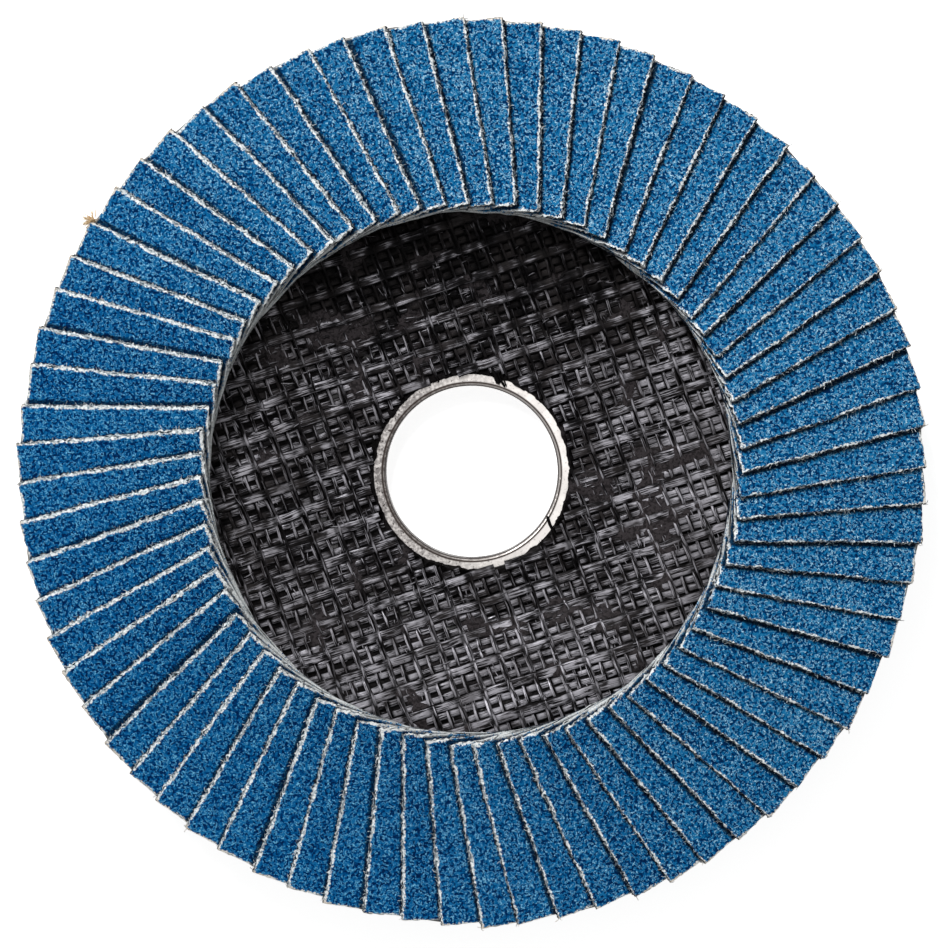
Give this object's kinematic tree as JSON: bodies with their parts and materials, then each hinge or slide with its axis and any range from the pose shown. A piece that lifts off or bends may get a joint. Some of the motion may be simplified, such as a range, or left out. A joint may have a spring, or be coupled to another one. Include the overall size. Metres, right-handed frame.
{
  "type": "flap disc",
  "caption": "Flap disc: overlapping abrasive cloth flaps glued in a ring on a dished glass-fibre plate with a steel-lined arbor hole.",
  "frame": {"origin": "centre of the arbor hole on the back face of the steel arbor ring, the lowest plane of the disc", "axes": "+Z along the arbor axis towards the work side, flaps up; +X to the right and +Y up as seen from the work side"},
  "size_m": [0.115, 0.115, 0.0146],
  "materials": {
    "laminate": "moulded black resin over woven glass",
    "glass_mesh": "black resin-wetted glass threads, streaky sheen",
    "ring_steel": "zinc-plated stamped steel, lightly marked",
    "adhesive": "cured dark resin",
    "abrasive_cloth": "coarse blue abrasive grain on cloth, pale frayed cut edges"
  },
  "bodies": {
    "root": {"backing_plate": "laminate", "arbor_ring": "ring_steel", "front_glass_mesh": "glass_mesh", "adhesive_bed": "adhesive", "flaps_01": "abrasive_cloth", "flaps_02": "abrasive_cloth", "flaps_03": "abrasive_cloth", "flaps_04": "abrasive_cloth", "flaps_05": "abrasive_cloth", "flaps_06": "abrasive_cloth", "flaps_07": "abrasive_cloth", "flaps_08": "abrasive_cloth", "flaps_09": "abrasive_cloth", "flaps_10": "abrasive_cloth", "flaps_11": "abrasive_cloth", "flaps_12": "abrasive_cloth", "flaps_13": "abrasive_cloth", "flaps_14": "abrasive_cloth", "flaps_15": "abrasive_cloth", "flaps_16": "abrasive_cloth", "flaps_17": "abrasive_cloth", "flaps_18": "abrasive_cloth", "flaps_19": "abrasive_cloth", "flaps_20": "abrasive_cloth", "flaps_21": "abrasive_cloth", "flaps_22": "abrasive_cloth", "flaps_23": "abrasive_cloth", "flaps_24": "abrasive_cloth", "flaps_25": "abrasive_cloth", "flaps_26": "abrasive_cloth", "flaps_27": "abrasive_cloth", "flaps_28": "abrasive_cloth", "flaps_29": "abrasive_cloth", "flaps_30": "abrasive_cloth", "flaps_31": "abrasive_cloth", "flaps_32": "abrasive_cloth", "flaps_33": "abrasive_cloth", "flaps_34": "abrasive_cloth", "flaps_35": "abrasive_cloth", "flaps_36": "abrasive_cloth"}
  },
  "joints": []
}
